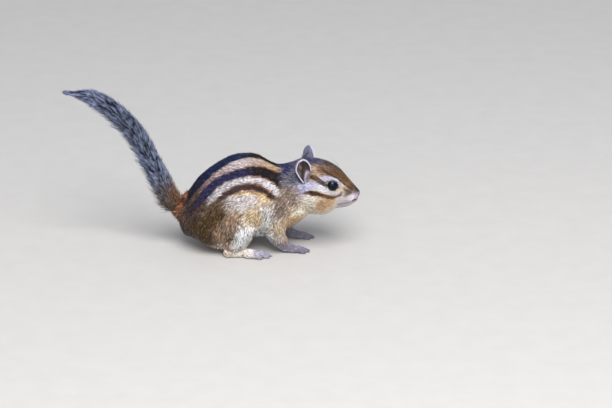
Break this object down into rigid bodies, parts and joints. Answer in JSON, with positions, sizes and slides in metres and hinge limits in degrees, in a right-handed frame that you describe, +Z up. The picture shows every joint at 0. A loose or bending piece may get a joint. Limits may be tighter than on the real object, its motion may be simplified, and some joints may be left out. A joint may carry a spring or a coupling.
{
  "type": "siberian chipmunk",
  "caption": "Life-size still model of a striped chipmunk, crouched on all fours with its bushy tail raised behind it, in natural coat colours.",
  "frame": {"origin": "middle of the bottom of the whole object's box, on the plane that the four feet stand on", "axes": "+X the way the animal faces, from its tail to its nose; +Y its left side; +Z up"},
  "size_m": [0.2042, 0.058, 0.1179],
  "materials": {
    "coat_head": "short dense fur, rusty brown crown, white and dark face stripes",
    "coat_body": "soft fur, ochre buff with near-black and cream stripes along the back, white belly",
    "coat_tail": "long bushy fur, blue-grey and black with pale tips",
    "ear_skin": "thin skin with very short hair and a pale rim",
    "foot_skin": "greyish lilac skin with thin pale hair",
    "eye": "glossy black",
    "claw": "dark horn"
  },
  "bodies": {
    "root": {"head": "coat_head", "ear_left": "ear_skin", "ear_right": "ear_skin", "eye_left": "eye", "eye_right": "eye", "neck": "coat_body", "torso": "coat_body", "foreleg_left": "coat_body", "foreleg_right": "coat_body", "forefoot_left": "foot_skin", "forefoot_right": "foot_skin", "hindleg_left": "coat_body", "hindleg_right": "coat_body", "hindfoot_left": "foot_skin", "hindfoot_right": "foot_skin", "tail_1": "coat_tail", "tail_2": "coat_tail", "tail_3": "coat_tail", "tail_4": "coat_tail"}
  },
  "joints": []
}
